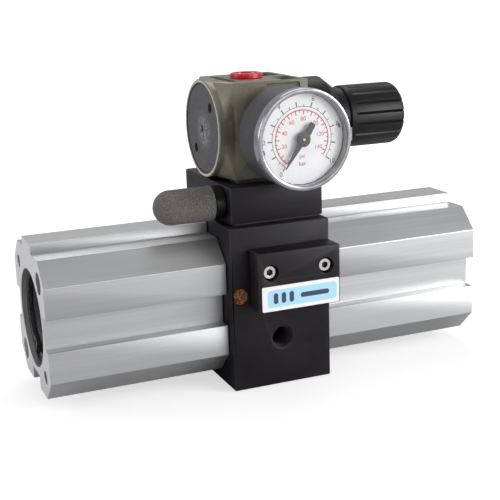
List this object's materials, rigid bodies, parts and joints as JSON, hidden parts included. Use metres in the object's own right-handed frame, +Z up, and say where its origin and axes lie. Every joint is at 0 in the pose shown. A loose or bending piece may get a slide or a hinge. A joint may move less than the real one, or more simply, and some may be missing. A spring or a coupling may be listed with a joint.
{
  "type": "air pressure booster",
  "caption": "Twin-piston pneumatic pressure booster: two extruded barrels either side of a centre block, with a regulator, pressure gauge and silencer on top.",
  "frame": {"origin": "middle of the centre block's underside, on which it stands", "axes": "+X along the barrels towards the adjusting knob, -Y out of the front with the gauge and the outlet port, +Z up"},
  "size_m": [0.19, 0.0835, 0.1249],
  "materials": {
    "silver_anodised": "satin anodised",
    "black_anodised": "black anodised, matt",
    "steel": "bright zinc plated",
    "spring_steel": "phosphated, dark",
    "rubber": "matt",
    "bearing_plastic": "matt",
    "sintered_bronze": "porous, matt",
    "silencer_grain": "coarse sintered grain",
    "olive_paint": "satin paint over a die casting",
    "plug_plastic": "matt, glass filled",
    "black_plastic": "satin",
    "red_plastic": "gloss",
    "gauge_case_plastic": "matt",
    "clear_plastic": "clear, gloss",
    "dial_white": "matt",
    "pointer_black": "matt",
    "brass": "machined",
    "label": "printed foil"
  },
  "bodies": {
    "housing": {"centre_block": "black_anodised", "end_cap_left": "black_anodised", "end_cap_right": "black_anodised", "valve_cover": "black_anodised", "manifold_block": "black_anodised", "barrel_left": "silver_anodised", "barrel_right": "silver_anodised", "retaining_ring_left": "spring_steel", "retaining_ring_right": "spring_steel", "control_spring": "spring_steel", "end_cap_oring_left": "rubber", "end_cap_oring_right": "rubber", "barrel_oring_left": "rubber", "barrel_oring_right": "rubber", "rod_seal_left": "rubber", "rod_seal_right": "rubber", "manifold_gasket": "rubber", "regulator_gasket": "rubber", "diaphragm": "rubber", "tie_bolt_left_1": "steel", "tie_bolt_left_2": "steel", "tie_bolt_right_1": "steel", "tie_bolt_right_2": "steel", "valve_cover_screw_1": "steel", "valve_cover_screw_2": "steel", "manifold_screw_1": "steel", "manifold_screw_2": "steel", "valve_spring": "steel", "rod_bush": "bearing_plastic", "spool_sleeve": "brass", "gauge_stem": "brass", "bourdon_tube": "brass", "exhaust_filter": "sintered_bronze", "name_label": "label", "silencer_element": "silencer_grain", "silencer_fitting": "black_plastic", "regulator_bonnet": "black_plastic", "regulator_body": "olive_paint", "regulator_end_plug": "plug_plastic", "port_plug": "red_plastic", "gauge_case": "gauge_case_plastic", "gauge_window": "clear_plastic", "gauge_dial": "dial_white"},
    "piston_assembly": {"piston_rod": "steel", "piston_left": "bearing_plastic", "piston_right": "bearing_plastic", "piston_seal_left": "rubber", "piston_seal_right": "rubber", "piston_screw_left": "steel", "piston_screw_right": "steel"},
    "spool": {"changeover_spool": "steel"},
    "inlet_check_left": {"inlet_check_valve_left": "bearing_plastic"},
    "inlet_check_right": {"inlet_check_valve_right": "bearing_plastic"},
    "outlet_check_left": {"outlet_check_valve_left": "bearing_plastic"},
    "outlet_check_right": {"outlet_check_valve_right": "bearing_plastic"},
    "poppet": {"regulator_poppet": "brass"},
    "adjuster": {"adjusting_screw": "steel"},
    "spring_seat": {"spring_seat_nut": "brass"},
    "knob": {"adjusting_knob": "black_plastic"},
    "pointer": {"gauge_pointer": "pointer_black"}
  },
  "joints": [
    {"name": "piston_slide", "type": "slide", "parent": "housing", "child": "piston_assembly", "axis": [1, 0, 0], "range_m": [-0.0175, 0.0175]},
    {"name": "spool_shift", "type": "slide", "parent": "housing", "child": "spool", "axis": [1, 0, 0], "range_m": [-0.0015, 0.0015]},
    {"name": "inlet_check_left_lift", "type": "slide", "parent": "housing", "child": "inlet_check_left", "axis": [0, 0, 1], "range_m": [0, 0.0008], "stiffness_N_per_m": 20, "springref_m": -0.001},
    {"name": "inlet_check_right_lift", "type": "slide", "parent": "housing", "child": "inlet_check_right", "axis": [0, 0, 1], "range_m": [0, 0.0008], "stiffness_N_per_m": 20, "springref_m": -0.001},
    {"name": "outlet_check_left_lift", "type": "slide", "parent": "housing", "child": "outlet_check_left", "axis": [0, 0, 1], "range_m": [0, 0.0008], "stiffness_N_per_m": 20, "springref_m": -0.001},
    {"name": "outlet_check_right_lift", "type": "slide", "parent": "housing", "child": "outlet_check_right", "axis": [0, 0, 1], "range_m": [0, 0.0008], "stiffness_N_per_m": 20, "springref_m": -0.001},
    {"name": "poppet_open", "type": "slide", "parent": "housing", "child": "poppet", "axis": [-1, 0, 0], "range_m": [0, 0.001], "stiffness_N_per_m": 300, "springref_m": -0.003, "deforming": ["valve_spring"]},
    {"name": "adjusting_turn", "type": "hinge", "parent": "housing", "child": "adjuster", "pos_m": [0, -0.0023, 0.1035], "axis": [-1, 0, 0], "range_deg": [0, 1260]},
    {"name": "spring_seat_travel", "type": "slide", "parent": "housing", "child": "spring_seat", "axis": [-1, 0, 0], "range_m": [0, 0.0035], "deforming": ["control_spring"]},
    {"name": "knob_pull", "type": "slide", "parent": "adjuster", "child": "knob", "axis": [1, 0, 0], "range_m": [0, 0.003]},
    {"name": "pointer_sweep", "type": "hinge", "parent": "housing", "child": "pointer", "pos_m": [0.0035, -0.0486, 0.1028], "axis": [0, 1, 0], "range_deg": [0, 272], "stiffness_Nm_per_rad": 0.001, "springref_deg": -5.73}
  ],
  "couplings": [
    {"joint": "adjusting_turn", "follows": "spring_seat_travel", "rad_per_m": 6283.2}
  ]
}
